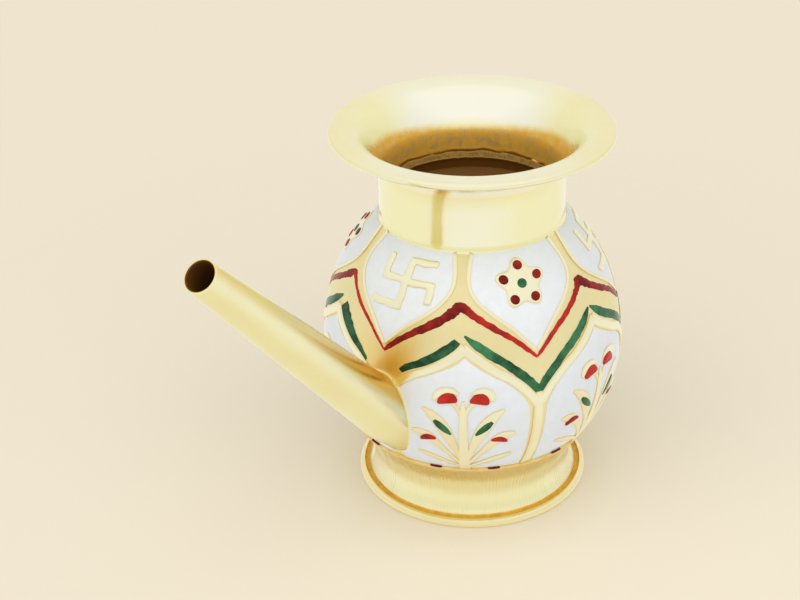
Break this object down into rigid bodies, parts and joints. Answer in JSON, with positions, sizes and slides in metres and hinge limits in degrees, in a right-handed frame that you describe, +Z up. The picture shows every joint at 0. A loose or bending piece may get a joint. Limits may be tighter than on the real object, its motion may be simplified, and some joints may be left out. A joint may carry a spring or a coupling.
{
  "type": "spouted lota",
  "caption": "Small round brass lota on a flared foot, with a trumpet mouth, a long straight spout for pouring and enamel panels round the bowl.",
  "frame": {"origin": "on the surface that the foot stands on, under the middle of the whole part's box", "axes": "+Z up along the bowl's axis, the spout points along -X, +Y to the side"},
  "size_m": [0.1652, 0.0936, 0.1223],
  "materials": {
    "brass": "polished, lightly brushed",
    "solder": "dull",
    "white_enamel": "gloss",
    "red_enamel": "gloss",
    "green_enamel": "gloss"
  },
  "bodies": {
    "root": {"bowl": "brass", "neck_and_rim": "brass", "pedestal_foot": "brass", "spout_tube": "brass", "neck_solder_seam": "solder", "foot_solder_seam": "solder", "spout_solder_seam": "solder", "upper_white_panel_1": "white_enamel", "upper_white_panel_2": "white_enamel", "upper_white_panel_3": "white_enamel", "upper_white_panel_4": "white_enamel", "upper_white_panel_5": "white_enamel", "upper_white_panel_6": "white_enamel", "lower_white_panel_1": "white_enamel", "lower_white_panel_2": "white_enamel", "lower_white_panel_3": "white_enamel", "lower_white_panel_4": "white_enamel", "lower_white_panel_5": "white_enamel", "lower_white_panel_6": "white_enamel", "red_zigzag_1": "red_enamel", "red_zigzag_2": "red_enamel", "red_zigzag_3": "red_enamel", "red_zigzag_4": "red_enamel", "red_zigzag_5": "red_enamel", "red_zigzag_6": "red_enamel", "green_stroke_2": "green_enamel", "green_stroke_3": "green_enamel", "green_stroke_4": "green_enamel", "green_stroke_5": "green_enamel", "green_stroke_6": "green_enamel", "green_stroke_spout_right": "green_enamel", "green_stroke_spout_left": "green_enamel", "brass_swastika_1": "brass", "brass_swastika_3": "brass", "brass_swastika_5": "brass", "brass_flower_2": "brass", "brass_flower_4": "brass", "brass_flower_6": "brass", "brass_sprig_1": "brass", "brass_sprig_2": "brass", "brass_sprig_3": "brass", "brass_sprig_4": "brass", "brass_sprig_5": "brass", "brass_sprig_6": "brass"}
  },
  "joints": []
}
